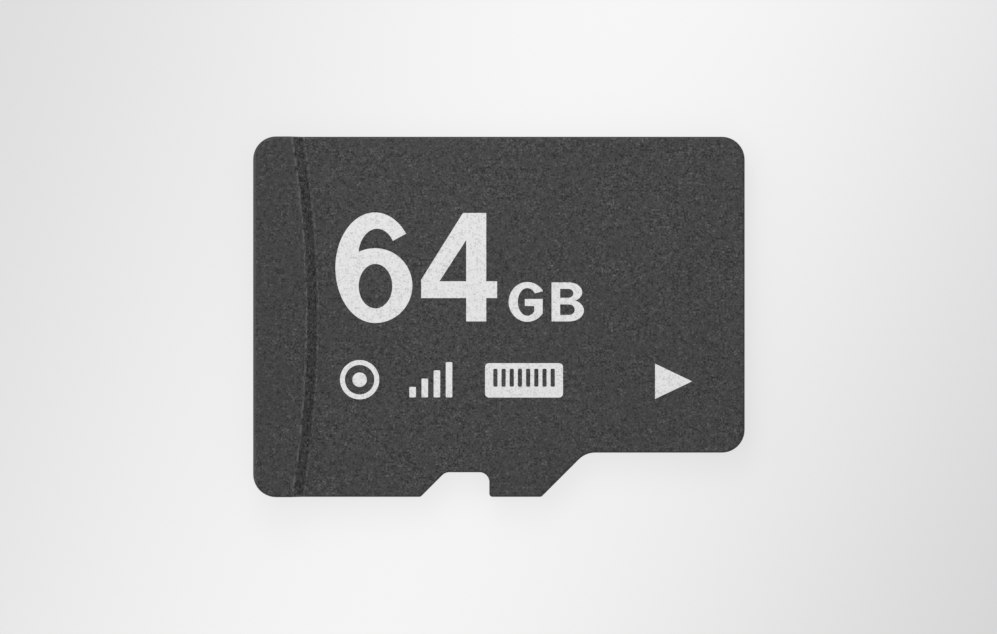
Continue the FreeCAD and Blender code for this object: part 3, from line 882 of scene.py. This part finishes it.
# %% Print the plate
SLOTS = 8
SLOT_PITCH = 0.25
SLOT_LIFT = 0.08
PLATE_X = 0.76
PLATE_DROP = 0.02
FIRST_SLOT = Vector((mm(-(SLOTS - 1) * SLOT_PITCH / 2), mm(SLOT_LIFT), 0))
PLATE_MIDDLE = Vector((mm(PLATE_X), mm(MARK_LINE - PLATE_DROP), 0))
PLATE = {
    "Width": mm(2.38), "Height": mm(1.05), "Corner": mm(0.12), "Slots": SLOTS, "Slot width": mm(0.13),
    "Slot height": mm(0.55), "Slot corner": mm(0.04), "Pitch": mm(SLOT_PITCH),
    "First slot": FIRST_SLOT, "Middle": PLATE_MIDDLE,
}
print_with("slotted_plate", plate_tree, PLATE, bpy.data.meshes.new("plate_host"))

# %% [markdown]
# ## Floor, light and camera
# The card lies on pale paper with a soft slanting band of light across it. A lamp could throw the band, but
# it would light the card as well, so the band is in the paper's colour and the light on the card stays
# plain. Most of what the camera and reflections see of the paper is its own colour and the rest is lit,
# which keeps the paper pale and the card's shadow faint.

# %% Material: paper
PAPER_OWN_SHARE = 0.82
BAND_SLANT = -0.4
BAND_LEFT = -24.0
BAND_RIGHT = 26.0
LEFT_TONE = 0.70
BAND_TONE = 0.92
RIGHT_TONE = 0.64
floor_paper, tree, shader, where = new_material("floor_paper", Roughness=0.8)
spot = axes(tree, in_mm(tree, where["Object"]))
across = math_node(tree, "ADD", spot["X"], math_node(tree, "MULTIPLY", spot["Y"], BAND_SLANT))
rising = remap(tree, across, BAND_LEFT, 0.0, LEFT_TONE, BAND_TONE, ease="SMOOTHSTEP")
falling = remap(tree, across, 0.0, BAND_RIGHT, BAND_TONE, RIGHT_TONE, ease="SMOOTHSTEP")
band = math_node(tree, "MINIMUM", rising, falling)
link_finish(tree, shader, Base_Color=band)
glow = add_node(tree, "ShaderNodeEmission", {"Color": band, "Strength": 1.0})
rays = tree.nodes.new("ShaderNodeLightPath").outputs
mirrored = math_node(tree, "MAXIMUM", rays["Is Glossy Ray"], rays["Is Transmission Ray"])
seen = math_node(tree, "MAXIMUM", rays["Is Camera Ray"], mirrored)
share = math_node(tree, "MULTIPLY", seen, PAPER_OWN_SHARE)
paper = add_node(tree, "ShaderNodeMixShader", {
    0: share, 1: shader.outputs["BSDF"], 2: glow.outputs["Emission"]})
tree.links.new(paper.outputs["Shader"], tree.nodes["Material Output"].inputs["Surface"])
print("material:", floor_paper.name)

# %% [markdown]
# The paper is one large square, a hair below the card so that the two don't share a plane. It is a stage,
# not a part of the card.

# %% Floor
FLOOR_HALF = 0.6
FLOOR_DROP = 0.02
floor_corners = [(x * FLOOR_HALF, y * FLOOR_HALF, 0) for x, y in ((-1, -1), (1, -1), (1, 1), (-1, 1))]
floor_mesh = bpy.data.meshes.new("floor")
floor_mesh.from_pydata(floor_corners, [], [(0, 1, 2, 3)])
floor_mesh.materials.append(floor_paper)
floor = bpy.data.objects.new("floor", floor_mesh)
floor.location.z = -mm(FLOOR_DROP)
scene.collection.objects.link(floor)
print("floor:", 2 * FLOOR_HALF, "m square")

# %% [markdown]
# A large soft lamp stands to the upper left, so the grip's slope, which faces right, is a little darker than
# the flat faces, as on a real desk by a window. A small weak lamp stands close beyond the straight edge, so
# the light falls off a little down the card. An even, pale world fills the rest, and the Standard view shows
# the tones as they are.

# %% Lamps and world
WORLD_TONE = grey(0.9)
WORLD_STRENGTH = 0.72


def add_lamp(name, place, size, watts):
    """Square lamp that shines at the card."""
    light = bpy.data.lights.new(name, "AREA")
    light.size = size
    light.energy = watts
    lamp = bpy.data.objects.new(name, light)
    lamp.location = place
    lamp.rotation_euler = (-Vector(place)).to_track_quat("-Z", "Y").to_euler()
    scene.collection.objects.link(lamp)
    print(f"{name}: {watts} W")


add_lamp("window_lamp", place=(-0.27, 0.16, 0.26), size=0.4, watts=0.5)
add_lamp("desk_lamp", place=(-0.01, 0.05, 0.04), size=0.03, watts=0.0125)
world = bpy.data.worlds.new("pale_room")
world.use_nodes = True
background = world.node_tree.nodes["Background"].inputs
background["Color"].default_value = WORLD_TONE
background["Strength"].default_value = WORLD_STRENGTH
scene.world = world
scene.view_settings.view_transform = "Standard"

# %% [markdown]
# The camera looks straight down through a long lens, so the sides of the card don't show. Its height follows
# from the lens and from the width of the label's plane that the picture takes in.

# %% Camera
PICTURE_WIDTH = 30.44
PICTURE_MIDDLE = (-0.02, -0.006)
LENS = 180
camera_data = bpy.data.cameras.new("camera")
camera_data.lens = LENS
camera_data.clip_start = 0.005
camera_data.clip_end = 10
camera = bpy.data.objects.new("camera", camera_data)
height = mm(PICTURE_WIDTH) * LENS / camera_data.sensor_width + mm(LABEL_FACE)
camera.location = (mm(PICTURE_MIDDLE[0]), mm(PICTURE_MIDDLE[1]), height)
scene.collection.objects.link(camera)
scene.camera = camera
print("camera height:", round(height * MM_PER_METRE, 1), "mm")
